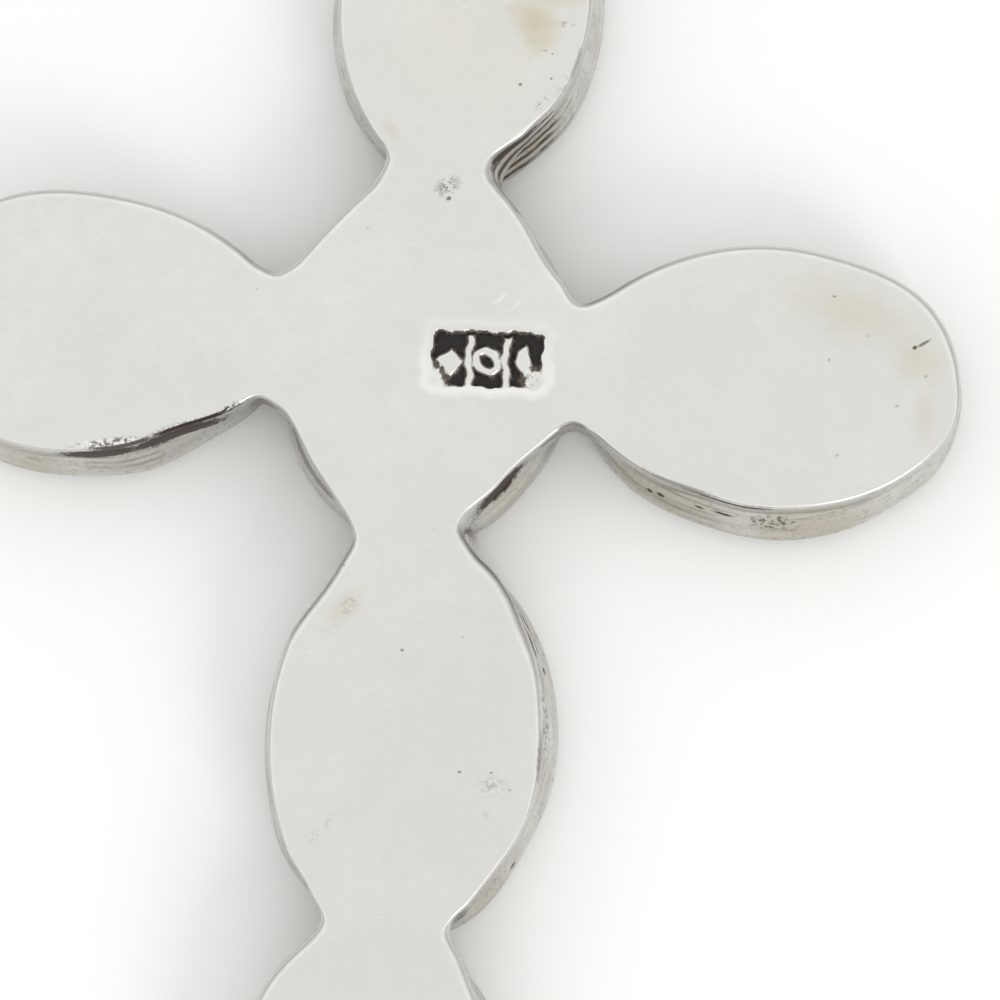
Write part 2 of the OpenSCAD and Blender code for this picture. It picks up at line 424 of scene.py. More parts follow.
# %% [markdown]
# ## The strokes of the file
# No lobe of the real pendant is a true oval. The file left a flat here and a swell there, and
# the eye reads them as handwork. Noise would give every lobe the same waver, so the edge is
# pushed in or out with proportional editing, one stroke at a time, as the file did it.

# %% Strokes on the sheet's edge, in mm from the middle of the cross
# Stroke: a place near the edge, the move there, and how far along the edge it fades out
SHEET_STROKES = (
    ((11.2, 2.2), (0.10, 0.13), 2.4),
    ((12.1, -0.9), (0.06, -0.02), 1.4),
    ((7.5, 3.05), (0.0, 0.09), 5.0),
    ((-10.0, 2.8), (-0.03, 0.17), 3.0),
    ((-9.4, -3.0), (0.0, -0.13), 2.8),
    ((-1.8, -5.6), (0.18, -0.08), 1.6),
    ((2.4, -5.3), (0.09, 0.06), 1.4),
    ((3.45, -8.3), (-0.08, 0.0), 2.0),
    ((2.6, -12.0), (-0.08, 0.05), 1.6),
    ((1.8, 5.2), (-0.07, 0.06), 1.0),
    ((-2.9, -1.9), (0.08, 0.06), 1.2),
    ((2.6, 2.3), (-0.06, -0.05), 1.2),
    ((-5.4, -2.45), (-0.05, 0.14), 1.6),
    ((2.3, -2.75), (-0.09, 0.09), 1.7),
    ((6.4, -2.9), (-0.02, 0.08), 1.4),
    ((-1.4, -12.4), (0.12, 0.0), 0.9),
    ((-1.9, -14.7), (-0.14, 0.0), 1.6),
    ((2.5, -14.6), (-0.16, 0.0), 1.6),
)


def stroke(piece, place, move, reach):
    """Moves the edge point nearest to the place, and its neighbours less and less."""
    target = MIDDLE.xy + Vector(place)
    mesh = bmesh.from_edit_mesh(piece.data)
    nearest = min((v.co.xy - target).length for v in mesh.verts)
    pick(piece, "verts", lambda v: (v.co.xy - target).length < nearest + STEP / 4)
    bpy.ops.transform.translate(value=(*move, 0), use_proportional_edit=True,
                                proportional_edit_falloff="SMOOTH", proportional_size=reach)


edit(back_sheet)
for place, move, reach in SHEET_STROKES:
    stroke(back_sheet, place, move, reach)
print(len(SHEET_STROKES), "strokes of the file")

# %% Notches rounded with a needle file
NOTCH_REACH = 0.55
NOTCH_PASSES = 26
PUSH_REACH = 0.7
# Notch: arm, how far along it, how far to the left of it, and the file's last push
NOTCHES = (
    ("right", 0, SIDE_NECK / 2, (-0.12, 0.0)), ("right", 0, -SIDE_NECK / 2, (-0.05, -0.09)),
    ("left", 0, SIDE_NECK / 2, (-0.08, -0.08)), ("left", 0, -SIDE_NECK / 2, (-0.01, 0.13)),
    ("top", 0, TOP_NECK / 2, (-0.08, 0.15)), ("top", 0, -TOP_NECK / 2, (0.05, -0.07)),
    ("low", 0, LOW_NECK / 2, (0.09, 0.10)), ("low", 0, -LOW_NECK / 2, (0.0, 0.0)),
    ("low", LOW_LEN, FOOT_NECK / 2, (-0.09, 0.03)),
    ("low", LOW_LEN, -FOOT_NECK / 2, (0.06, 0.08)),
)
notches = [(Vector(on_arm(*place)), push) for *place, push in NOTCHES]
pick(back_sheet, "verts",
     lambda v: any((v.co.xy - notch).length < NOTCH_REACH for notch, _ in notches))
bpy.ops.mesh.vertices_smooth(factor=0.5, repeat=NOTCH_PASSES)
for notch, push in notches:
    stroke(back_sheet, notch - MIDDLE.xy, push, PUSH_REACH)
print(len(notches), "notches rounded")

# %% [markdown]
# ## From the outline to a sheet with worn edges
# The outline is filled and extruded to the sheet's thickness. The maker took the sawn edge off
# with a file, and it has stayed crisp towards the foot, while wear has rounded it towards the
# head. One bevel can't show that, so an even bevel is cut first, and each of its points is then
# drawn back towards the sawn edge, by the way the side faces there. In two notches and on one
# flank the file was held aslant, so the upper edge is set further in there than the lower one.
# A thin inset keeps the flat face's shading flat.

# %% Thickness and edges
CRISP_EDGE = 0.07
WORN_EDGE = 0.24
UNDER_SOFTNESS = 0.03
WORN_SEGMENTS, UNDER_SEGMENTS = 7, 2
SHADE_RING = 0.03
# A rim's two faces turn by more than this, in radians
SQUARE_EDGE = 1
# Slant: a place in mm from the middle, how far the upper edge gave way, and the fading reach
SLANTS = (
    ((1.25, 4.4), (-0.35, 0.17), 1.1), ((2.0, 5.6), (-0.06, 0.05), 1.4),
    ((1.4, -3.95), (-0.13, 0.10), 1.1), ((2.5, -5.9), (-0.09, -0.03), 1.8),
)


def smooth(value, low, high):
    """0 below low, 1 above high, and an S-curve between them."""
    t = min(max((value - low) / (high - low), 0), 1)
    return t * t * (3 - 2 * t)


edit(back_sheet)
bpy.ops.mesh.select_all(action="SELECT")
bpy.ops.mesh.edge_face_add()
bpy.ops.mesh.extrude_region_move(TRANSFORM_OT_translate={"value": (0, 0, SHEET_T)})
bpy.ops.mesh.select_all(action="SELECT")
bpy.ops.mesh.normals_make_consistent(inside=False)


def rim_edges(piece, z):
    """Selects the edges that lie level at height z between a flat face and a side."""
    bpy.ops.mesh.select_mode(type="EDGE")
    return pick(piece, "edges", lambda e: all(abs(v.co.z - z) < CLOSE for v in e.verts)
                and e.calc_face_angle(0) > SQUARE_EDGE)


for z, softness, segments in ((BACK_Z, WORN_EDGE, WORN_SEGMENTS),
                              (SHEET_UNDER_Z, UNDER_SOFTNESS, UNDER_SEGMENTS)):
    print("rim of", rim_edges(back_sheet, z), "edges")
    bpy.ops.mesh.bevel(offset=softness, offset_type="OFFSET", segments=segments, profile=0.5,
                       affect="EDGES", clamp_overlap=False)

# %% Crisp towards the foot, worn towards the head
def nearest_of(points):
    """A search for the nearest of these points, seen from above."""
    tree = KDTree(len(points))
    for k, point in enumerate(points):
        tree.insert((point.co.x, point.co.y, 0), k)
    tree.balance()
    return lambda co: Vector(tree.find((co.x, co.y, 0))[0]).xy


mesh = bmesh.from_edit_mesh(back_sheet.data)
side_foot = nearest_of([v for v in mesh.verts if abs(v.co.z - BACK_Z + WORN_EDGE) < CLOSE])
flat_edge = nearest_of([v for v in mesh.verts if abs(v.co.z - BACK_Z) < CLOSE])
for point in mesh.verts:
    if point.co.z < BACK_Z - WORN_EDGE - CLOSE:
        continue
    sawn = side_foot(point.co)
    # The way the side faces, from -1 towards the foot to 1 towards the head
    outward = (sawn - flat_edge(sawn)).normalized()
    worn = smooth(outward.y, -0.5, 0.5)
    share = (CRISP_EDGE + (WORN_EDGE - CRISP_EDGE) * worn) / WORN_EDGE
    point.co.xy = sawn + (point.co.xy - sawn) * share
    point.co.z = BACK_Z - (BACK_Z - point.co.z) * share
print("edge from", CRISP_EDGE, "to", WORN_EDGE, "mm wide")

# %% Where the file was held aslant
for point in mesh.verts:
    high = (point.co.z - SHEET_UNDER_Z) / SHEET_T
    for place, move, reach in SLANTS:
        off = (point.co.xy - MIDDLE.xy - Vector(place)).length / reach
        point.co.xy += Vector(move) * high * (1 - smooth(off, 0, 1))
bmesh.update_edit_mesh(back_sheet.data)
print(len(SLANTS), "slanting cuts")

# %% A ring round the flat face, which is then opened for the mark
LEVEL_FACE, MANY_CORNERS = 0.999, 100
bpy.ops.mesh.select_mode(type="FACE")
pick(back_sheet, "faces", lambda f: f.normal.z > LEVEL_FACE and len(f.verts) > MANY_CORNERS)
bpy.ops.mesh.inset(thickness=SHADE_RING)
bpy.ops.mesh.delete(type="ONLY_FACE")
print("ring", SHADE_RING, "mm wide")

# %% [markdown]
# ## The struck mark
# A steel punch was struck into the back. It sank a small panel, left the figures of the punch
# standing, and raised a soft swell of metal round it. Booleans would make it too crisp, so the
# panel is a fine grid whose points are pushed down or up by one function of their place, as a
# punch does. The figures are plain ones: a diamond, a ring and a leaf, with bars between them.

# %% Sizes of the mark and its figures, in mm
MARK_MIDDLE = Vector((1.44, -0.15))
MARK_TURN = math.radians(3)
MARK_W, MARK_H = 2.5, 1.3
MARK_DEPTH = 0.15
MARK_ROUND = 0.1
PATCH_W, PATCH_H = 3.3, 2.1
PATCH_STEP = 0.025
FIGURE = 0.62
PITCH = MARK_W / 3
BAR_W = 0.16
BAR_GAP = 0.12
RING_W = 0.17
RING_SHARE = 0.78
LEAF_R, LEAF_APART = FIGURE * 0.7, 0.62
DIAMOND_LOW, RING_LOW = 0.05, 0.03
HALF_DIAGONAL = 0.707
SWELL = 0.02


# %% The punch's panel and figures
def outside_box(u, v, half_w, half_h, corner):
    """Distance outside a box with round corners, negative inside it."""
    du, dv = abs(u) - half_w + corner, abs(v) - half_h + corner
    return math.hypot(max(du, 0), max(dv, 0)) + min(max(du, dv), 0) - corner


def outside_figures(u, v):
    """Distance outside the nearest figure: a diamond, a ring, a leaf, or a bar between them."""
    half = FIGURE / 2
    diamond = (abs(u + PITCH) + abs(v + DIAMOND_LOW) - half) * HALF_DIAGONAL
    ring = abs(math.hypot(u, v + RING_LOW) - half * RING_SHARE) - RING_W / 2
    leaf = max(math.hypot(u - PITCH - s * LEAF_R * LEAF_APART, v) - LEAF_R for s in (-1, 1))
    bars = min(abs(u - s * PITCH / 2) - BAR_W / 2 for s in (-1, 1))
    bars = max(bars, v - MARK_H / 2 + BAR_GAP)
    return min(diamond, ring, leaf, bars)


# %% The struck surface
def struck(u, v):
    """Height of the struck surface above the flat back."""
    # Worn steel and ragged metal: no line of the panel runs straight
    u += 0.030 * math.sin(7.1 * v + 1.3) + 0.016 * math.sin(17 * v + 5 * u)
    v += 0.026 * math.sin(6.3 * u + 0.4) + 0.014 * math.sin(19 * u)
    edge = outside_box(u, v, MARK_W / 2, MARK_H / 2, MARK_ROUND)
    # The panel's side is steep, but slopes gently in the corner where the punch leaned away
    open_side = smooth(-v, 0.1, MARK_H / 2) * smooth(-u, 0.2, MARK_W / 2)
    slope = 0.06 + 0.12 * open_side
    sunk = 1 - smooth(edge, -slope, 0.02)
    figures = 1 - smooth(outside_figures(u, v), -0.05, 0.10)
    # Its two lower corners were struck less deep, and the swell is highest below the panel
    shallow = max(1 - math.hypot(u + s * 1.3, v + 0.5) / 0.62 for s in (1, -0.9))
    depth = MARK_DEPTH * (1 - 0.85 * smooth(shallow, 0, 0.8))
    swell = SWELL * (1 - smooth(abs(edge - 0.15), 0, 0.22)) * (0.45 + 0.55 * smooth(-v, -0.5, 0.4))
    return swell - depth * sunk * (1 - 0.9 * figures)


# %% Striking the mark
patch = begin("grid", "struck_patch", size=1, x_subdivisions=round(PATCH_W / PATCH_STEP),
              y_subdivisions=round(PATCH_H / PATCH_STEP))
patch.scale = (PATCH_W, PATCH_H, 1)
patch.rotation_euler.z = MARK_TURN
patch.location = (*(MIDDLE.xy + MARK_MIDDLE), BACK_Z)
turned_back = Matrix.Rotation(-MARK_TURN, 2)
apply_place(patch)
for point in patch.data.vertices:
    u, v = turned_back @ (point.co.xy - MIDDLE.xy - MARK_MIDDLE)
    point.co.z += struck(u, v)
print("mark of", len(patch.data.polygons), "faces")

# %% Setting the mark into the sheet
only(patch)
back_sheet.select_set(True)
bpy.context.view_layer.objects.active = back_sheet
bpy.ops.object.join()
edit(back_sheet, "EDGE")
pick(back_sheet, "edges", lambda e: e.is_boundary)
bpy.ops.mesh.fill(use_beauty=True)
edit(back_sheet)
bpy.ops.mesh.select_all(action="SELECT")
bpy.ops.mesh.normals_make_consistent(inside=False)
open_edges = pick(back_sheet, "edges", lambda e: e.is_boundary)
print("sheet has", len(bmesh.from_edit_mesh(back_sheet.data).faces), "faces,", open_edges, "open")

# %% [markdown]
# ## Walls and domes under the lobes
# Under each oval the maker soldered a strip of silver on edge, flared a little outward, and
# closed it with a low domed plate. A stack of separate tori and spheres would show joints that
# a real pendant hasn't, so each lobe is one solid: an oval face is pushed down and scaled ring
# by ring, the way one draws a profile. Two fine grooves mark the solder joint and the strip's
# overlap, where dirt and oxide collect. In one notch a drop of solder ran out, and stays there.

# %% Profile of a wall and its dome, in mm
LOBE_POINTS = 176
WALL_H = 0.95
FLARE = 0.22
SEAM = 0.025
RIM_Z = SHEET_UNDER_Z - WALL_H
DOME_RINGS = 12
DOME_FLAT = 0.12
# Outward growth from the sheet's oval, and height from the underside of the sheet
WALL_PROFILE = (
    (-0.15, 0.30), (-SEAM, 0.0), (-0.02, -0.025), (-0.005, -0.05),
    (0.0996, -0.43), (0.091, -0.445), (0.1065, -0.46),
    (0.195, -0.84), (FLARE - 0.005, -0.90), (FLARE, -WALL_H),
)


# %% One wall with its dome
def push_ring(half_a, half_b, grown, target):
    """Pushes the selected oval face down to the next ring, which is (growth, height)."""
    bpy.ops.mesh.extrude_region_move(
        TRANSFORM_OT_translate={"value": (0, 0, target[1] - grown[1])})
    bpy.ops.transform.resize(value=((half_a + target[0]) / (half_a + grown[0]),
                                    (half_b + target[0]) / (half_b + grown[0]), 1),
                             center_override=(0, 0, 0))


def lobe(name, length, width, middle, heading):
    """One wall with its dome, modelled at the origin and set on its arm."""
    half_a, half_b = length / 2, width / 2
    first = WALL_PROFILE[0]
    piece = begin("circle", name, vertices=LOBE_POINTS, radius=1, fill_type="NGON")
    piece.scale = (half_a + first[0], half_b + first[0], 1)
    piece.location.z = SHEET_UNDER_Z + first[1]
    apply_place(piece)
    edit(piece, "FACE")
    bpy.ops.mesh.select_all(action="SELECT")
    for grown, target in zip(WALL_PROFILE, WALL_PROFILE[1:]):
        push_ring(half_a, half_b, grown, target)
    share, height = 1, RIM_Z
    for k in range(1, DOME_RINGS + 1):
        angle = math.pi / 2 * k / DOME_RINGS
        next_share, next_height = max(math.cos(angle), DOME_FLAT), RIM_Z * (1 - math.sin(angle))
        bpy.ops.mesh.extrude_region_move(
            TRANSFORM_OT_translate={"value": (0, 0, next_height - height)})
        bpy.ops.transform.resize(value=(next_share / share, next_share / share, 1),
                                 center_override=(0, 0, 0))
        share, height = next_share, next_height
    bpy.ops.mesh.poke()
    bpy.ops.mesh.select_all(action="SELECT")
    bpy.ops.mesh.normals_make_consistent(inside=False)
    put_down()
    piece.rotation_euler.z = heading
    piece.location = (*middle, 0)
    apply_place(piece)
    return piece


# %% The six lobes
NECK_GAP = 0.12
CENTRE_GAP_SIDE, CENTRE_GAP_END = 0.4, 0.3
# Lobe: arm, where it starts along the arm, length, width, sideways shift, number of necks
LOBES = {
    "lobe_right": ("right", 0, SIDE_LEN, SIDE_W, 0, 1),
    "lobe_left": ("left", 0, SIDE_LEN, SIDE_W, 0, 1),
    "lobe_top": ("top", 0, TOP_LEN, TOP_W, -TOP_SHIFT, 1),
    "lobe_low": ("low", 0, LOW_LEN, LOW_W, LOW_SHIFT, 2),
    "lobe_foot": ("low", LOW_LEN, FOOT_LEN, FOOT_W, FOOT_SHIFT, 1),
}
lobes = {"lobe_centre": lobe("lobe_centre", CENTRE_W - 2 * CENTRE_GAP_SIDE,
                             CENTRE_H - 2 * CENTRE_GAP_END, MIDDLE.xy, 0)}
for name, (arm, run, length, width, shift, necks) in LOBES.items():
    body = length - necks * NECK_GAP
    middle = on_arm(arm, run + NECK_GAP + body / 2, shift)
    lobes[name] = lobe(name, body, width, middle, ROOTS[arm][1])
    print(name, [round(v, 2) for v in lobes[name].dimensions])

# %% Strokes of the file on the walls, each as on the sheet's edge
LOBE_STROKES = {
    "lobe_right": (((8.4, -3.4), (0.0, -0.13), 3.0), ((12.2, -0.5), (-0.11, 0.0), 2.2),
                   ((5.0, -2.9), (0.0, -0.07), 1.8), ((11.2, -2.4), (-0.03, 0.06), 1.4)),
    "lobe_left": (((-4.9, -2.2), (-0.07, 0.19), 1.8), ((-9.5, -3.2), (0.0, -0.08), 2.2)),
    "lobe_top": (((-3.2, 8.7), (-0.05, 0.0), 2.4), ((1.9, 5.2), (-0.08, 0.08), 1.4),
                 ((-1.9, 5.0), (0.08, 0.0), 1.4)),
    "lobe_low": (((3.3, -11.1), (-0.12, 0.04), 2.2), ((-2.2, -11.5), (-0.08, -0.03), 1.6)),
    "lobe_foot": (((1.9, -21.9), (0.0, 0.024), 3.0),),
    "lobe_centre": (((2.5, -2.7), (-0.06, 0.05), 1.8), ((-2.7, -2.6), (-0.03, -0.03), 1.6)),
}
for name, strokes in LOBE_STROKES.items():
    edit(lobes[name])
    for place, move, reach in strokes:
        stroke(lobes[name], place, move, reach)
put_down()
print(sum(len(strokes) for strokes in LOBE_STROKES.values()), "strokes on the walls")

# %% Solder that ran into the notch right of the lower neck
SOLDER_SPOT = (1.27, -4.22, 1.15)
SOLDER_HALVES = (0.30, 0.42, 0.62)
BALL = {"segments": 48, "ring_count": 24, "radius": 1}
solder_fillet = begin("uv_sphere", "solder_fillet", **BALL,
                      location=(SOLDER_SPOT[0], SOLDER_SPOT[1] + MIDDLE.y, SOLDER_SPOT[2]))
solder_fillet.scale = SOLDER_HALVES
apply_place(solder_fillet)
print("solder", [round(v, 2) for v in solder_fillet.dimensions])

# %% [markdown]
# ## The eyelet
# A ring of round wire stands at the head of the cross, soldered into the edge of the top lobe.
# A bare torus would look stuck on, because solder always draws a small fillet round a joint.
# The ring and a flattened drop of solder are therefore melted together with a voxel remesh,
# which is how the two metals meet in the real joint.

# %% Eyelet, in mm: its width over all, its wire, and how far it is sunk into the lobe
EYELET_D, EYELET_WIRE, EYELET_BITE = 4.0, 0.9, 0.7
EYELET_RADIUS = (EYELET_D - EYELET_WIRE) / 2
JOINT_Y = MIDDLE.y + CENTRE_H / 2 + TOP_LEN
EYELET_Y = JOINT_Y - EYELET_BITE + EYELET_D / 2
BELOW_BACK = 0.01
EYELET_Z = BACK_Z - EYELET_WIRE / 2 - BELOW_BACK
JOINT_SUNK, JOINT_LOW = 0.12, 0.02
JOINT_HALVES = (1.35, 0.36, 0.40)
SOLDER_VOXEL = 0.045
SOLDER_PASSES = 12

eyelet = begin("torus", "eyelet", location=(0, EYELET_Y, EYELET_Z), major_segments=96,
               minor_segments=24, major_radius=EYELET_RADIUS, minor_radius=EYELET_WIRE / 2)
apply_place(eyelet)
solder = begin("uv_sphere", "solder", **BALL,
               location=(0, JOINT_Y - JOINT_SUNK, EYELET_Z - JOINT_LOW))
solder.scale = JOINT_HALVES
apply_place(solder)
only(solder)
eyelet.select_set(True)
bpy.context.view_layer.objects.active = eyelet
bpy.ops.object.join()
finish_modifier(eyelet, "REMESH", mode="VOXEL", voxel_size=SOLDER_VOXEL)
finish_modifier(eyelet, "SMOOTH", factor=0.5, iterations=SOLDER_PASSES)
print("eyelet", [round(v, 2) for v in eyelet.dimensions], len(eyelet.data.polygons), "faces")

# %% [markdown]
# ## The bail
# The bail is the loose loop that the chain runs through. The picture's edge hides it, so it is
# the plainest common one: a strip of silver that widens towards the chain, bent to a drop and
# soldered. It is modelled as it is made. A circle is drawn out to a drop, extruded to the width
# of the strip, tapered, given its thickness, and its edges are broken with a bevel.

# %% Drop, in mm: the strip, the round ends' radii inside, and the span between their middles
BAIL_T = 0.6
BAIL_W_LOW, BAIL_W_HIGH = 1.3, 3.0
BAIL_R_LOW, BAIL_R_HIGH = 0.9, 1.7
BAIL_SPAN = 3.2
BAIL_GAP = 0.12
BAIL_POINTS = 128
WIRE_REACH = EYELET_RADIUS - EYELET_WIRE / 2
BAIL_SEAT = math.sqrt(WIRE_REACH ** 2 - (BAIL_W_LOW / 2) ** 2) - BAIL_GAP
BAIL_LOW_Y = EYELET_Y + BAIL_SEAT + BAIL_R_LOW
BAIL_TILT = math.asin((BAIL_R_HIGH + BAIL_T - EYELET_Z) / BAIL_SPAN)
print("the drop leans", round(math.degrees(BAIL_TILT), 1), "degrees")
tangent = -(BAIL_R_HIGH - BAIL_R_LOW) / BAIL_SPAN

bail = begin("circle", "bail_loop", vertices=BAIL_POINTS, radius=BAIL_R_HIGH)
edit(bail)
pick(bail, "verts", lambda v: v.co.y / BAIL_R_HIGH < tangent)
shrink = BAIL_R_LOW / BAIL_R_HIGH
bpy.ops.transform.resize(value=(shrink, shrink, 1), center_override=(0, 0, 0))
bpy.ops.transform.translate(value=(0, -BAIL_SPAN, 0))

# %% Strip
ROWS = 8
BAIL_EDGE, BAIL_EDGE_SEGMENTS = 0.11, 3
BAIL_CORNER = math.radians(50)
bpy.ops.mesh.select_all(action="SELECT")
bpy.ops.transform.translate(value=(0, 0, -BAIL_W_HIGH / 2))
for k in range(ROWS):
    bpy.ops.mesh.extrude_region_move(
        TRANSFORM_OT_translate={"value": (0, 0, BAIL_W_HIGH / ROWS)})
edit(bail)
bpy.ops.mesh.select_all(action="SELECT")
bpy.ops.mesh.normals_make_consistent(inside=False)
finish_modifier(bail, "SOLIDIFY", thickness=BAIL_T, offset=1.0)
low_end, high_end = -BAIL_SPAN - BAIL_R_LOW - BAIL_T, BAIL_R_HIGH + BAIL_T
widening = (BAIL_W_HIGH - BAIL_W_LOW) / (high_end - low_end)
width_at_round = BAIL_W_LOW - low_end * widening
edit(bail)
bpy.ops.mesh.select_all(action="SELECT")
bpy.ops.transform.resize(value=(1, 1, width_at_round / BAIL_W_HIGH), center_override=(0, 0, 0))
finish_modifier(bail, "SIMPLE_DEFORM", deform_method="TAPER", deform_axis="Y", lock_x=True,
                factor=widening * (high_end - low_end) / width_at_round)
finish_modifier(bail, "BEVEL", width=BAIL_EDGE, segments=BAIL_EDGE_SEGMENTS,
                angle_limit=BAIL_CORNER)
print("strip of", len(bail.data.polygons), "faces")

# %% Laying the bail down, through the eyelet and with its broad end on the table
bail.rotation_euler = (0, math.radians(90), 0)
apply_place(bail)
bail.rotation_euler = (BAIL_TILT, 0, 0)
bail.location = (0, BAIL_LOW_Y + BAIL_SPAN * math.cos(BAIL_TILT),
                 EYELET_Z + BAIL_SPAN * math.sin(BAIL_TILT))
apply_place(bail)
print("bail", [round(v, 2) for v in bail.dimensions])

# %% [markdown]
# ## Finishes
# All of it is sterling silver, so the differences are in wear. An image could be laid over
# each piece, but it would blur from near by and end at the photo's edge. So each finish is
# built from noise of a real size in millimetres, and from ragged ovals that set this pendant's
# own stains, specks and oxide at their places.

# %% Tools for finishes
OWN_FRAME = ("Mapping", {"vector_type": "TEXTURE"})
# Its colour sockets are _6, below, and _7, above, and its colour output is 2
COVER = ("Mix", {"data_type": "RGBA"})


def place_in_mm(tree):
    """The place on a piece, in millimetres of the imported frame."""
    place = add(tree, "TexCoord", output="Object")
    return add(tree, ("VectorMath", {"operation": "SCALE"}), place, Scale=1 / MM)


def joined(tree, kind, first, *others):
    """Values joined one after the other, by nodes of one kind."""
    for other in others:
        first = add(tree, kind, first, other)
    return first


def grain(tree, where, size, detail=3, roughness=0.55, turn=0):
    """Noise from 0 to 1. Size is the grain's, in mm, or its length, width and height."""
    sizes = size if isinstance(size, tuple) else (size, size, size)
    placed = add(tree, OWN_FRAME, where, Scale=sizes, Rotation=(0, 0, math.radians(turn)))
    return add(tree, "TexNoise", placed, Scale=1, Detail=detail, Roughness=roughness)


# %% Ragged ovals
EVERY_HEIGHT = 80


def ovals(tree, where, rows, ragged, softness, edge_noise):
    """The strongest of several ragged ovals. A row gives middle, half sizes, turn, strength.

    Middles are millimetres from the middle of the cross, heights are from the floor. Each oval
    is a spherical gradient, a little larger than the spot, so that noise can push its edge out."""
    grown = 1 + ragged / 2
    push = add(tree, TIMES, add(tree, MINUS, 0.5, edge_noise), ragged / grown)
    strongest = 0
    for middle, half, turn, strength in rows:
        local = add(tree, OWN_FRAME, where, Rotation=(0, 0, math.radians(turn)),
                    Location=(middle[0], middle[1] + MIDDLE.y, middle[2]),
                    Scale=[side * grown for side in half])
        depth = add(tree, ("TexGradient", {"gradient_type": "SPHERICAL"}), local, output=1)
        spot = add(tree, SOFT_STEP, add(tree, PLUS, depth, push),
                   1 - 1 / grown, 1 - (1 - softness) / grown, 0, strength)
        strongest = add(tree, LARGER, strongest, spot)
    return strongest


def on_back(x, y, half_a, half_b, turn=0, strength=1.0):
    """A row for ovals: a spot on the back, whatever its height."""
    return (x, y, 0), (half_a, half_b, EVERY_HEIGHT), turn, strength


def on_side(x, y, z, half_a, half_b, half_z, turn=0, strength=1.0):
    """A row for ovals: a spot on a side or wall, at a height above the floor."""
    return (x, y, z), (half_a, half_b, half_z), turn, strength


# %% Starting a metal
def new_metal(name):
    """A metal with nothing but its name, with its node tree and its shader."""
    metal = bpy.data.materials.new(name)
    metal.use_nodes = True
    shader = metal.node_tree.nodes["Principled BSDF"]
    shader.inputs["Metallic"].default_value = 1
    return metal, metal.node_tree, shader


# %% [markdown]
# ## The walls
# The walls are strips of rolled silver, bent to an oval, soldered and left as the torch and the
# pickle left them. No finger or cloth rubs them, so they keep a warm tarnish, faint lines from
# rolling and bending, pits, and dark oxide in patches. The eye reads this as old metal that
# shines softly. One function mixes it, because the sides of the back sheet are finished alike.

# %% Tarnish of the sides: places of its darkest patches, in millimetres
SIDE_OXIDE = (
    on_side(-7.1, -3.1, 1.95, 1.3, 0.45, 0.44, 8), on_side(-5.5, -2.5, 1.90, 1.6, 0.42, 0.46, 27),
    on_side(2.0, -3.0, 1.88, 0.95, 0.5, 0.5, 51), on_side(6.9, -3.1, 2.19, 2.1, 0.45, 0.13, -6),
    on_side(2.95, -1.8, 2.1, 0.5, 0.35, 0.12, 0, 0.7),
    on_side(-3.6, -1.35, 1.7, 0.5, 0.4, 0.6, 0, 0.7),
    on_side(1.3, -4.2, 1.3, 0.25, 0.3, 0.5, 0, 0.8), on_side(1.3, 4.2, 1.3, 0.25, 0.25, 0.4),
    on_side(1.55, 5.0, 2.15, 0.95, 0.5, 0.16, 47, 0.95),
    on_side(1.95, -12.7, 1.6, 0.35, 0.4, 0.8, 0, 0.7),
    on_side(-2.4, -2.6, 1.2, 1.3, 0.3, 0.2, -60, 0.5),
    on_side(3.55, -1.45, 1.9, 0.8, 0.5, 0.5, 0, 0.45),
    on_side(1.85, -4.8, 1.9, 0.7, 0.3, 0.6, -50, 0.7),
)
STRIPED_OXIDE = (
    on_side(1.8, 5.1, 1.5, 1.8, 0.9, 1.8, 50, 0.9),
    on_side(2.6, -5.7, 1.8, 1.6, 0.6, 0.9, -55, 0.85),
    on_side(6.0, -3.2, 1.2, 1.6, 0.8, 0.7, -15, 0.35),
    on_side(-6.5, -3.2, 1.2, 1.6, 0.8, 0.5, 15, 0.35),
)
SIDE_PITS = (
    on_side(5.35, -2.54, 1.17, 0.10, 0.4, 0.08), on_side(5.61, -2.65, 1.24, 0.12, 0.4, 0.08),
    on_side(6.50, -2.94, 1.41, 0.16, 0.4, 0.05), on_side(7.05, -3.06, 1.46, 0.34, 0.4, 0.06),
    on_side(10.35, -2.48, 2.26, 0.15, 0.3, 0.10), on_side(10.72, -2.27, 2.29, 0.12, 0.3, 0.08),
    on_side(-7.22, -3.02, 1.50, 0.5, 0.4, 0.03, 0, 0.7),
    on_side(3.35, -7.0, 1.25, 0.4, 0.12, 0.10), on_side(3.06, -11.4, 0.85, 0.4, 0.12, 0.10, 0, 0.8),
)
SIDE_MOTTLE = (
    on_side(8.3, -3.2, 1.42, 0.8, 0.4, 0.36), on_side(3.45, -8.5, 1.7, 0.3, 1.6, 0.3, 0, 0.8),
    on_side(-8.3, -3.2, 1.3, 1.2, 0.4, 0.3, 0, 0.5),
    on_side(2.9, -11.8, 1.3, 0.4, 0.9, 0.4, -30, 0.6),
)
WARM_WALLS = (
    on_side(5.7, -3.0, 1.3, 2.9, 1.5, 1.6, -16), on_side(-6.5, -3.0, 1.3, 2.4, 1.2, 1.0, 15, 0.5),
    on_side(9.2, -3.3, 1.3, 2.4, 1.1, 1.6, 8, 0.9), on_side(-9.0, -3.4, 1.3, 1.8, 1.0, 1.6, 0, 0.8),
    on_side(2.3, -3.0, 1.4, 1.4, 0.9, 1.6, 50, 0.6), on_side(1.8, 5.0, 1.4, 1.9, 0.9, 1.6, 50),
    on_side(-2.6, 5.3, 1.4, 0.9, 1.3, 1.6, 20, 0.6),
    on_side(2.6, -12.3, 1.4, 1.2, 1.0, 1.6, 40, 0.7),
)
print(len(SIDE_OXIDE + STRIPED_OXIDE + SIDE_PITS + SIDE_MOTTLE), "dark places on the sides")

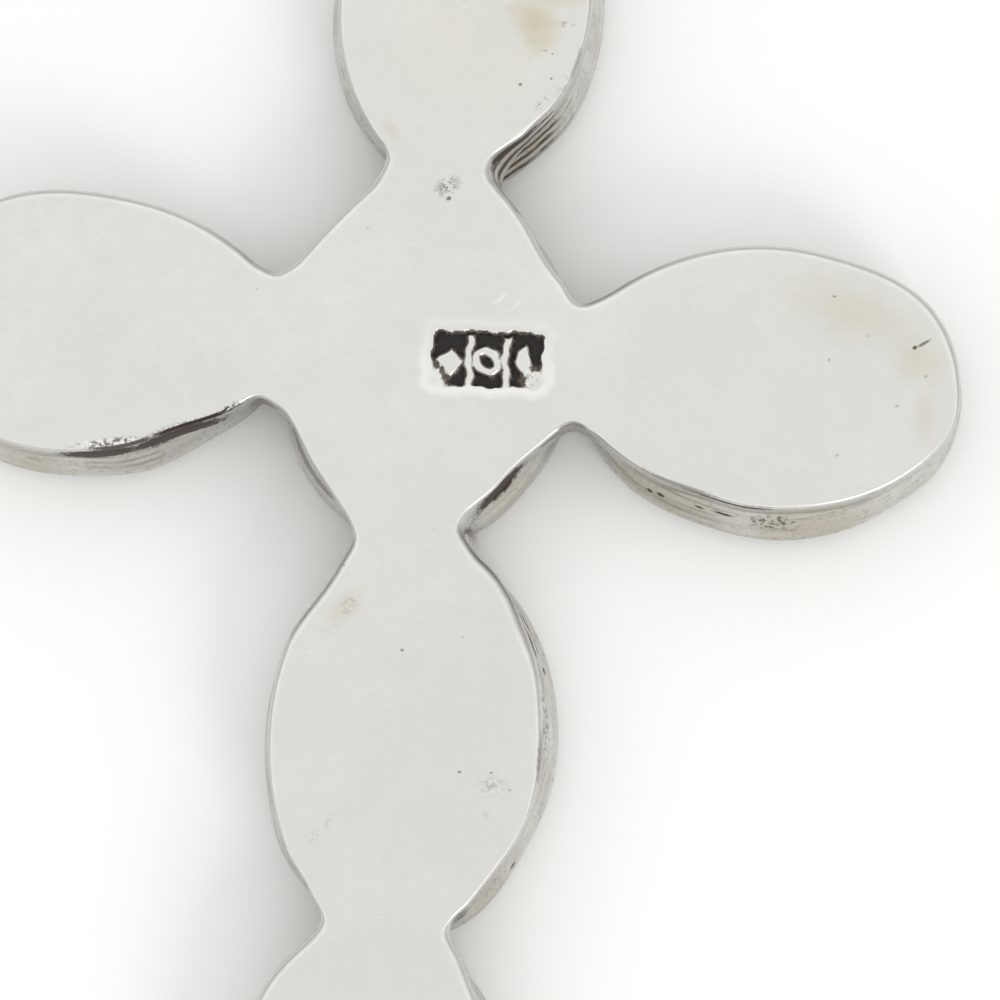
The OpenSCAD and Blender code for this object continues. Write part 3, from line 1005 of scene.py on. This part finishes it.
# %% Colour of the sides: sterling silver as the torch and the pickle left it
WALL_SILVER = linear("#dad9d6")
WALL_DIRT = linear("#a19d93")
WALL_TARNISH = linear("#a3957a")
WARM_OXIDE = linear("#33231a")
# Sizes in millimetres: lines from the rolling mill, blotches of dirt, and the oxide's grain
ROLLED_LINES = (3.5, 3.5, 0.16)
BLOTCHES = 0.9
OXIDE_GRAIN = 0.12
# The stripes' wave in radians for each millimetre of height, so one stripe in a quarter of one
STRIPE_TURNS = 25
JOINT_Z = SHEET_UNDER_Z - 0.01


def side_finish(tree, where, level, fine):
    """Colour, oxide share and relief of the sheet's sides and of the walls."""
    lines = add(tree, SOFT_STEP, grain(tree, where, ROLLED_LINES), 0.3, 0.7)
    blotch = add(tree, SOFT_STEP, grain(tree, where, BLOTCHES, 3, 0.6), 0.3, 0.7)
    warm = ovals(tree, where, WARM_WALLS, 0.6, 0.95, blotch)
    dirt = add(tree, PLUS, add(tree, TIMES, lines, 0.25), add(tree, TIMES, blotch, 0.3))
    colour = add(tree, COVER, dirt, _6=WALL_SILVER, _7=WALL_DIRT, output=2)
    warmth = add(tree, TIMES, warm, 0.5)
    colour = add(tree, COVER, warmth, _6=colour, _7=WALL_TARNISH, output=2)
    grit = add(tree, SOFT_STEP, fine, 0.52, 0.68, 0, 0.30)

    # Stripes that the file left, bent a little by the blotches and filled with oxide
    phase = add(tree, PLUS, add(tree, TIMES, level, STRIPE_TURNS), add(tree, TIMES, blotch, 1.6))
    wave = add(tree, ("Math", {"operation": "SINE"}), phase)
    stripes = add(tree, SOFT_STEP, wave, -0.2, 0.5)
    striped = add(tree, TIMES, stripes, ovals(tree, where, STRIPED_OXIDE, 0.5, 0.6, blotch))
    solid = ovals(tree, where, SIDE_OXIDE, 0.9, 0.35, fine)
    pits = ovals(tree, where, SIDE_PITS, 0.8, 0.6, fine)
    mottle = add(tree, TIMES, add(tree, SOFT_STEP, fine, 0.46, 0.60, 0, 0.75),
                 ovals(tree, where, SIDE_MOTTLE, 0.8, 0.8, blotch))

    # A dark line where the wall is soldered to the sheet, which comes and goes
    wavy = add(tree, PLUS, level, add(tree, SOFT_STEP, blotch, 0, 1, -0.02, 0.02))
    off_joint = add(tree, ("Math", {"operation": "ABSOLUTE"}), add(tree, MINUS, wavy, JOINT_Z))
    joint = add(tree, TIMES, add(tree, SOFT_STEP, off_joint, 0.035, 0.012, 0, 0.4), blotch)
    oxide = joined(tree, LARGER, solid, striped, pits, mottle, joint, grit)
    return add(tree, COVER, oxide, _6=colour, _7=WARM_OXIDE, output=2), oxide, lines


# %% Walls: rolled silver gives the eye a dull shine, broken by lines along the strip
BEND_TICKS = (0.22, 0.22, 1.2)
WALL_RELIEF = 0.012

tarnished, tree, shader = new_metal("tarnished_sterling_silver_wall")
where = place_in_mm(tree)
level = add(tree, "SeparateXYZ", where, output="Z")
fine = grain(tree, where, OXIDE_GRAIN, 3, 0.7)
colour, oxide, lines = side_finish(tree, where, level, fine)
ticks = add(tree, SOFT_STEP, grain(tree, where, BEND_TICKS, 2), 0.4, 0.6)
relief = add(tree, PLUS, add(tree, TIMES, lines, 0.5), add(tree, TIMES, ticks, 0.3))
fill(tree, shader, {
    "Base Color": colour,
    "Metallic": add(tree, SOFT_STEP, oxide, 0, 1, 1, 0.4),
    "Roughness": add(tree, SOFT_STEP, oxide, 0, 1, 0.36, 0.6),
    "Normal": add(tree, "Bump", Height=relief, Distance=WALL_RELIEF * MM),
})
print(tarnished.name, len(tree.nodes), "nodes")

# %% [markdown]
# ## The worn back
# The flat back was polished once and has rubbed on cloth and skin for years, which leaves
# sterling silver satin bright, with pale hair scratches, a few dark specks and tan stains.
# Painted shade greys its rounded edges, painted highlights and glints brighten a few edges, and
# oxide fills the struck mark. A painted image could hold all that, but here it is laid on in the
# order of the years: silver first, then stains, scratches, specks and the oxide on top.

# %% Worn back: places of its marks, in millimetres from the middle of the cross
TAN_STAINS = (
    on_back(0.3, 7.8, 3.8, 4.4, 0, 0.15), on_back(1.75, 7.95, 1.2, 0.85, -70, 0.8),
    on_back(1.75, 7.85, 0.6, 0.3, -70, 0.85), on_back(2.0, 8.6, 1.3, 0.5, 0, 0.5),
    on_back(9.6, 1.65, 2.5, 1.0, -18, 0.36), on_back(11.1, 0.75, 1.1, 0.9, -50, 0.42),
    on_back(11.4, -0.6, 0.4, 1.0, 0, 0.3),
    on_back(-1.3, 5.1, 0.5, 0.25, -50, 0.35), on_back(-1.2, -6.2, 0.8, 0.45, 50, 0.35),
)
SMUDGES = (
    on_back(0.12, 3.85, 0.5, 0.34, 40, 0.65),
    on_back(-1.1, -6.1, 0.5, 0.26, 55, 0.3), on_back(-1.5, -6.7, 0.36, 0.16, 40, 0.2),
    on_back(2.35, -10.6, 0.22, 0.12, 20, 0.5),
    on_back(2.0, 7.3, 0.16, 0.10, 0, 0.5), on_back(2.5, 8.0, 0.3, 0.22, 0, 0.45),
    on_back(2.5, -9.9, 0.55, 0.35, 0, 0.3),
    on_back(2.1, 6.03, 0.32, 0.12, 52, 0.9), on_back(2.6, 6.55, 0.5, 0.3, 60, 0.25),
    on_back(-1.2, -11.2, 0.8, 0.16, 50, 0.2),
)
EDGE_OXIDE = (
    on_back(-6.6, -2.85, 1.0, 0.32, 12, 0.9), on_back(-5.1, -2.2, 1.3, 0.32, 26),
    on_back(6.2, -2.8, 1.3, 0.25, -22, 0.5), on_back(7.9, -3.2, 1.0, 0.2, 0, 0.8),
    on_back(3.45, -1.45, 0.6, 0.3, 0, 0.6), on_back(3.6, -9.4, 0.18, 1.1, 4, 0.55),
    on_back(2.75, 7.2, 0.25, 0.9, 14, 0.35),
    on_back(1.4, 4.0, 0.4, 0.14, -60, 0.7), on_back(1.7, 3.6, 0.5, 0.12, -50, 0.6),
)
EDGE_SPECKLE = (
    on_back(-6.9, -2.84, 1.2, 0.15, 11, 0.8), on_back(-5.4, -2.36, 0.9, 0.15, 22, 0.85),
    on_back(-4.3, -1.82, 0.6, 0.12, 33, 0.9), on_back(7.9, -3.10, 1.0, 0.07, 0, 0.6),
)
SPECKS = (
    on_back(1.55, 6.45, 0.055, 0.045, 0, 0.8), on_back(2.25, 6.65, 0.045, 0.035, 0, 0.7),
    on_back(2.22, 7.25, 0.04, 0.03, 0, 0.6), on_back(9.15, 2.0, 0.06, 0.035, 0, 0.5),
    on_back(11.05, 0.95, 0.08, 0.06, 40, 0.9), on_back(11.25, 1.07, 0.25, 0.05, 35, 0.75),
    on_back(1.75, -9.65, 0.06, 0.04, 0, 0.7), on_back(2.45, -9.6, 0.05, 0.035, 0, 0.6),
    on_back(2.9, -9.95, 0.05, 0.035, 0, 0.5),
    on_back(0.2, -7.02, 0.06, 0.045, 0, 0.6), on_back(-1.3, -5.2, 0.05, 0.03, 0, 0.5),
    on_back(1.65, 4.2, 0.08, 0.055, 0, 0.8), on_back(0.18, 3.57, 0.09, 0.06, 30, 0.8),
    on_back(9.15, 0.5, 0.06, 0.04, 40, 0.4), on_back(11.35, 0.3, 0.06, 0.04, 60, 0.4),
    on_back(10.75, -0.45, 0.06, 0.04, 30, 0.35), on_back(9.5, -1.7, 0.07, 0.04, 40, 0.35),
)
# Pale dashes of fresh silver; the long ones on the bevels at (1.6, 5.2) and (7.3, -3.2) are painted
# highlights
BRIGHT_DASHES = (
    on_back(1.6, 5.2, 1.0, 0.06, 47, 0.8), on_back(1.6, 1.3, 0.30, 0.05, 48, 0.6),
    on_back(1.95, 1.15, 0.26, 0.04, 48, 0.4), on_back(7.3, -3.2, 1.2, 0.12, 0, 0.7),
)
print(len(TAN_STAINS + SMUDGES + EDGE_OXIDE + SPECKS), "stains, smudges and specks on the back")

# %% Worn back: satin by wear, which gives the eye one even pale light without a mirror's edge
SATIN_SILVER = linear("#eceae8")
DULL_SILVER = linear("#dbdcd7")
TAN_TARNISH = linear("#d2c9af")
BROWN_OXIDE = linear("#5d5146")
BLACK_OXIDE = linear("#211f1c")
# The white of fresh silver in scratches and raised metal, also used for painted highlights and
# glints
FRESH_SILVER = linear("#fcfcfa")
# A grey laid over the rounded rim as painted shade, for the dimmer light that the edge turns to
EDGE_GREY = linear("#b4b3af")
# Sizes in millimetres: mottling and clouds of the satin. The real grain is too fine to show.
MOTTLING = 0.6
CLOUDS = 2.8

satin, tree, shader = new_metal("worn_satin_sterling_silver")
where = place_in_mm(tree)
level = add(tree, "SeparateXYZ", where, output="Z")
fine = grain(tree, where, OXIDE_GRAIN, 3, 0.7)
middling = grain(tree, where, MOTTLING, 2)
cloud = add(tree, SOFT_STEP, grain(tree, where, CLOUDS, 2), 0.25, 0.75, 0, 0.25)
mottle = add(tree, SOFT_STEP, middling, 0.15, 0.85, 0, 0.35)
pepper = add(tree, SOFT_STEP, fine, 0.3, 0.7, 0, 0.16)
dull = joined(tree, PLUS, mottle, cloud, pepper)
colour = add(tree, COVER, dull, _6=SATIN_SILVER, _7=DULL_SILVER, output=2)
stains = ovals(tree, where, TAN_STAINS, 1.0, 0.95, middling)
colour = add(tree, COVER, stains, _6=colour, _7=TAN_TARNISH, output=2)
print("silver and stains:", len(tree.nodes), "nodes")

# %% Scratches and bright grains where fresh silver shows, and painted highlights and glints on edges
# A scratch's length, width and height in millimetres, drawn wider than a real one to show
HAIR = (0.26, 0.05, 1)
CROSS_HAIR = (0.6, 0.035, 1)
SAND = 0.08

hair = add(tree, SOFT_STEP, grain(tree, where, HAIR, 1, 0.5, 22), 0.74, 0.82, 0, 0.5)
cross_hair = add(tree, SOFT_STEP, grain(tree, where, CROSS_HAIR, 1, 0.5, 48), 0.75, 0.80, 0, 0.3)
dashes = ovals(tree, where, BRIGHT_DASHES, 0.8, 0.7, fine)
sand = grain(tree, where, SAND, 2, 0.6)
by_the_edge = ovals(tree, where, EDGE_SPECKLE, 0.5, 0.7, fine)
# Painted glints: bright grains along the lower edges of the side arms
glints = add(tree, TIMES, add(tree, SOFT_STEP, sand, 0.46, 0.40), by_the_edge)
pale = joined(tree, LARGER, hair, cross_hair, dashes, glints)
colour = add(tree, COVER, pale, _6=colour, _7=FRESH_SILVER, output=2)
print("with scratches:", len(tree.nodes), "nodes")

# %% Dust, specks and smudges, where brown oxide sits
DUST_PER_MM = 1.3

off_dust = add(tree, "TexVoronoi", where, Scale=DUST_PER_MM)
chance = add(tree, "SeparateXYZ", off_dust.node.outputs["Color"])
few = add(tree, SOFT_STEP, chance, 0.5, 0.9)
dust = add(tree, TIMES, few, add(tree, SOFT_STEP, off_dust, 0.05, 0.01, 0, 0.35))
specks = add(tree, LARGER, dust, ovals(tree, where, SPECKS, 0.7, 0.6, fine))
smudge = ovals(tree, where, SMUDGES, 1.2, 0.8, fine)
smudge = add(tree, TIMES, smudge, add(tree, SOFT_STEP, fine, 0.49, 0.57))
speckle = add(tree, TIMES, add(tree, SOFT_STEP, sand, 0.47, 0.57), by_the_edge)
marks = joined(tree, LARGER, smudge, specks, speckle)
colour = add(tree, COVER, marks, _6=colour, _7=BROWN_OXIDE, output=2)
print("with specks:", len(tree.nodes), "nodes")

# %% Oxide in the struck mark, and the bright metal that the punch raised round it
MARK_MARGIN = 0.08

in_mark = add(tree, OWN_FRAME, where, Location=(*(MIDDLE.xy + MARK_MIDDLE), 0),
              Rotation=(0, 0, MARK_TURN),
              Scale=(MARK_W / 2 + MARK_MARGIN, MARK_H / 2 + MARK_MARGIN, EVERY_HEIGHT))
off_middle = add(tree, ("VectorMath", {"operation": "ABSOLUTE"}), in_mark)
off_x = add(tree, "SeparateXYZ", off_middle)
boxed = add(tree, SOFT_STEP, add(tree, LARGER, off_x, off_x.node.outputs["Y"]), 1.0, 0.97)
raised = add(tree, SOFT_STEP, level, BACK_Z + 0.001, BACK_Z + 0.022, 0, 0.6)
colour = add(tree, COVER, raised, _6=colour, _7=FRESH_SILVER, output=2)
ragged_level = add(tree, PLUS, level, add(tree, SOFT_STEP, fine, 0.3, 0.7, -0.03, 0.03))
sunk = add(tree, SOFT_STEP, ragged_level, BACK_Z - 0.035, BACK_Z - 0.075)
black = add(tree, TIMES, sunk, boxed)
rubbed = add(tree, SOFT_STEP, ragged_level, BACK_Z - 0.13, BACK_Z - 0.09)
mark_oxide = add(tree, COVER, rubbed, _6=BLACK_OXIDE, _7=BROWN_OXIDE, output=2)
colour = add(tree, COVER, black, _6=colour, _7=mark_oxide, output=2)
print("with the mark:", len(tree.nodes), "nodes")

# %% Sides of the sheet, tarnished like the walls, with a painted shade on the rounded rim and oxide along it
side_colour, side_oxide, _ = side_finish(tree, where, level, fine)
outside_mark = add(tree, MINUS, 1, boxed)
below_flat = add(tree, SOFT_STEP, level, BACK_Z, BACK_Z - 0.004)
above_side = add(tree, SOFT_STEP, level, BACK_Z - 0.17, BACK_Z - 0.11)
on_rim = joined(tree, TIMES, below_flat, outside_mark, above_side)
edge_oxide = add(tree, TIMES, on_rim, ovals(tree, where, EDGE_OXIDE, 0.9, 0.5, fine))
# Painted shade: the rounded rim below the flat is greyed, and so is the softbox's highlight on it
rounded = add(tree, SOFT_STEP, level, BACK_Z - 0.005, BACK_Z - 0.03, 0, 0.4)
grey = add(tree, TIMES, rounded, outside_mark)
colour = add(tree, COVER, grey, _6=colour, _7=EDGE_GREY, output=2)
on_its_side = add(tree, SOFT_STEP, level, BACK_Z - 0.05, BACK_Z - 0.16)
on_its_side = add(tree, TIMES, on_its_side, outside_mark)
colour = add(tree, COVER, on_its_side, _6=colour, _7=side_colour, output=2)
colour = add(tree, COVER, edge_oxide, _6=colour, _7=WARM_OXIDE, output=2)
black = joined(tree, LARGER, black, edge_oxide, add(tree, TIMES, on_its_side, side_oxide))
print("with the sides:", len(tree.nodes), "nodes")

# %% Gloss and relief of the back: oxide is duller than silver, and less of a metal
SATIN_GRAIN = 0.25
SATIN_RELIEF = 0.006

gloss = add(tree, SOFT_STEP, middling, 0.3, 0.7, 0.29, 0.35)
relief = grain(tree, where, SATIN_GRAIN, 3, 0.6)
fill(tree, shader, {
    "Base Color": colour,
    "Metallic": add(tree, SOFT_STEP, black, 0, 1, 1, 0.3),
    "Roughness": add(tree, LARGER, gloss, add(tree, TIMES, black, 0.6)),
    "Normal": add(tree, "Bump", Height=relief, Distance=SATIN_RELIEF * MM),
})
print(satin.name, len(tree.nodes), "nodes")

# %% [markdown]
# ## The wire and the bail
# The eyelet is drawn wire and the bail is a forged strip. The chain and the pendant's own swing
# keep both rubbed, so they are the brightest parts. Very fine lines along the strip are enough
# to break the shine, and they are drawn coarser than they are so that they show.

# %% Wire and bail: burnished silver gives the eye small sharp lights
BURNISHED_SILVER = linear("#f6f4ef")
RUBBED_LINE = linear("#d6d2c8")
WIRE_LINES = (0.07, 1.2, 1.2)
WIRE_GRAIN = 0.7
WIRE_RELIEF = 0.003

polished, tree, shader = new_metal("polished_sterling_silver_wire")
where = place_in_mm(tree)
hairlines = add(tree, SOFT_STEP, grain(tree, where, WIRE_LINES, 2), 0.45, 0.75)
faint = add(tree, TIMES, hairlines, 0.3)
fill(tree, shader, {
    "Base Color": add(tree, COVER, faint, _6=BURNISHED_SILVER, _7=RUBBED_LINE, output=2),
    "Roughness": add(tree, SOFT_STEP, grain(tree, where, WIRE_GRAIN), 0.3, 0.7, 0.14, 0.24),
    "Normal": add(tree, "Bump", Height=hairlines, Distance=WIRE_RELIEF * MM),
})
print(polished.name, len(tree.nodes), "nodes")

# %% [markdown]
# ## Bringing the pieces down to metres
# Each piece has been modelled at a millimetre to the unit. It is now scaled to metres, shaded
# smooth but for its true edges, painted, and tied to the imported part: it rides on the one body,
# and stands for the node it shows, which is hidden.

# %% Pieces
TRUE_EDGE = math.radians(38)


def hand_over(piece, node, material):
    """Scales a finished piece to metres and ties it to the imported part."""
    only(piece)
    piece.scale = (MM, MM, MM)
    apply_place(piece)
    bpy.ops.object.shade_smooth_by_angle(angle=TRUE_EDGE)
    piece.data.materials.append(material)
    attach(piece, "root")
    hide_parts(node)
    print(piece.name, sum(len(face.vertices) - 2 for face in piece.data.polygons), "triangles")


hand_over(back_sheet, "cross", satin)
for piece in (*lobes.values(), solder_fillet):
    hand_over(piece, "cross", tarnished)
hand_over(eyelet, "cross", polished)
hand_over(bail, "bail", polished)

# %% Sizes of the finished scene
low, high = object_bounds()
